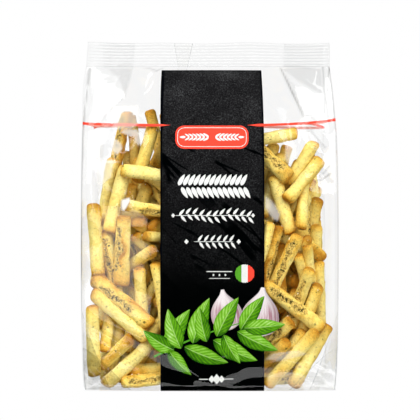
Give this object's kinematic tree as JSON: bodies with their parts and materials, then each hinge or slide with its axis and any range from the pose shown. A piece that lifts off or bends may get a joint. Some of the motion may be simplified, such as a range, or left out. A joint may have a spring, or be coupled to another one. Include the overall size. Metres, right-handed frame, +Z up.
{
  "type": "bag of grissini breadsticks",
  "caption": "Clear side-gusset film bag of short herb breadsticks, sealed across its top, standing on its flat folded base.",
  "frame": {"origin": "middle of the flat base, at the bottom of the bag's box", "axes": "+Z up to the top seal, X across the panel's width, the shown front panel faces -Y, a side pleat on +X and on -X"},
  "size_m": [0.1516, 0.0554, 0.212],
  "materials": {
    "breadstick_crust": "baked pale golden dough, tan at the ends, with green herb flecks",
    "clear_film": "glossy thin polypropylene",
    "film_seal": "ribbed heat seal",
    "slate_print": "dark slate-look print under film",
    "red_print": "flat red print under film",
    "pale_print": "off-white print under film",
    "leaf_print": "green print in several tones under film",
    "bulb_print": "pink and cream print under film",
    "herb_flakes": "dried chopped leaves",
    "bread_crumbs": "dry crumbs and salt"
  },
  "bodies": {
    "root": {"breadstick_bag": "breadstick_crust"}
  },
  "joints": []
}
